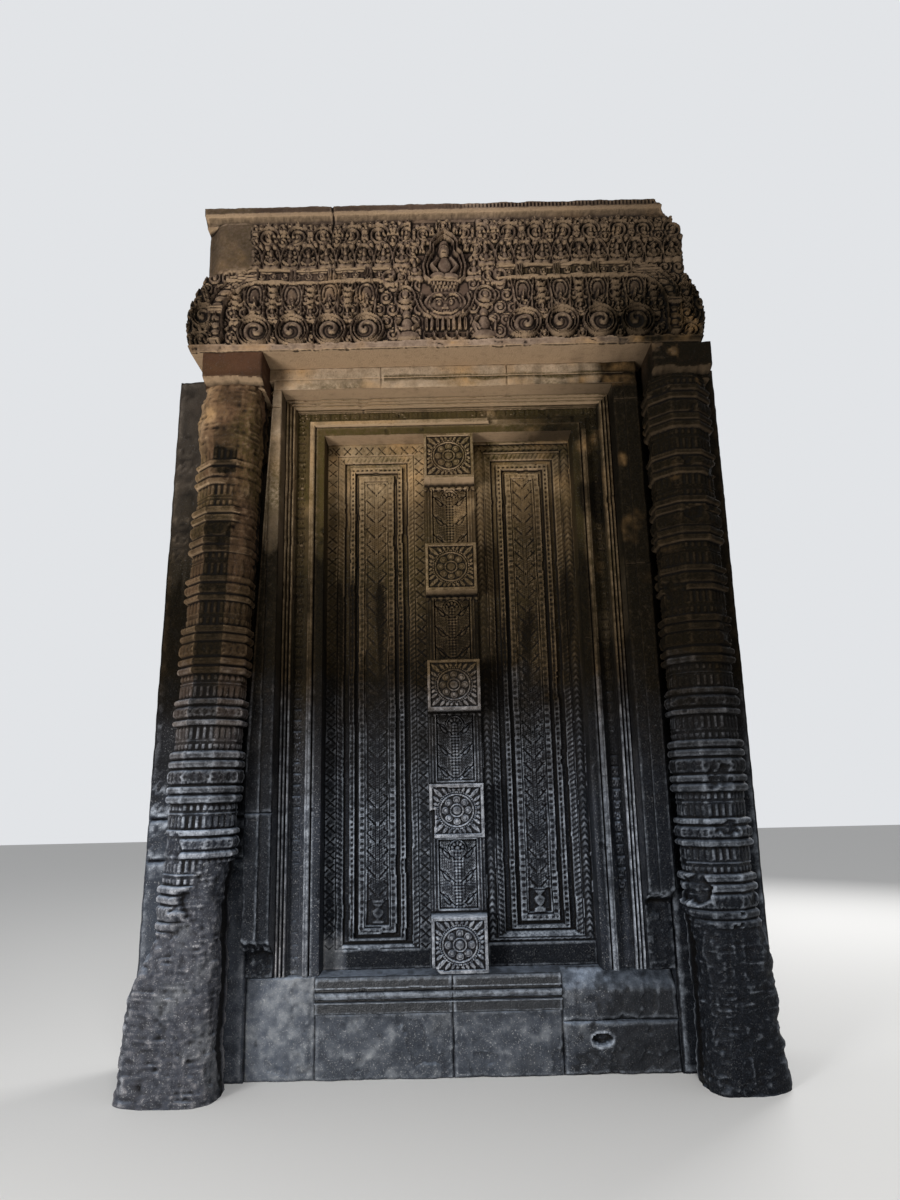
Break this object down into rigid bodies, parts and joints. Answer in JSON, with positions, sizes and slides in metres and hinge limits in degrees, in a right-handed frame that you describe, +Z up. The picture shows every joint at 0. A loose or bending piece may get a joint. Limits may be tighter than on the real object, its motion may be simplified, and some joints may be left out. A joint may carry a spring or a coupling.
{
  "type": "carved stone false door",
  "caption": "Carved sandstone blind door: panelled leaves with a bossed middle strip, moulded frame, ringed octagonal colonettes and a carved lintel, standing on a moulded sill.",
  "frame": {"origin": "on the underside of the base course, below the middle of the door, in the plane of the leaves", "axes": "+X to the right seen from the front, +Y into the wall, +Z up"},
  "size_m": [2.132, 0.501, 3.099],
  "materials": {
    "leaf_stone": "weathered",
    "frame_stone": "weathered",
    "outer_stone": "weathered",
    "colonette_stone": "weathered",
    "capital_stone": "weathered",
    "lintel_stone": "weathered",
    "sill_stone": "weathered",
    "base_stone": "weathered",
    "backing_stone": "weathered"
  },
  "bodies": {
    "root": {"leaf_left": "leaf_stone", "leaf_right": "leaf_stone", "astragal_lower": "leaf_stone", "astragal_upper": "leaf_stone", "inner_jamb_left": "frame_stone", "inner_jamb_right_lower": "frame_stone", "inner_jamb_right_upper": "frame_stone", "inner_head_left": "frame_stone", "inner_head_middle": "frame_stone", "inner_head_right": "frame_stone", "outer_jamb_left_lower": "outer_stone", "outer_jamb_left_upper": "outer_stone", "outer_jamb_right_lower": "outer_stone", "outer_jamb_right_upper": "outer_stone", "outer_head_left": "outer_stone", "outer_head_middle": "outer_stone", "outer_head_right": "outer_stone", "colonette_left_lower": "colonette_stone", "colonette_left_upper": "colonette_stone", "colonette_right": "colonette_stone", "capital_left": "capital_stone", "capital_right": "capital_stone", "lintel": "lintel_stone", "sill_left": "sill_stone", "sill_right": "sill_stone", "base_block_left": "base_stone", "base_block_mid_left": "base_stone", "base_block_mid_right": "base_stone", "base_block_right": "base_stone", "foot_stone_right": "base_stone", "backing_left_lower": "backing_stone", "backing_left_middle": "backing_stone", "backing_left_upper": "backing_stone", "backing_right": "backing_stone"}
  },
  "joints": []
}
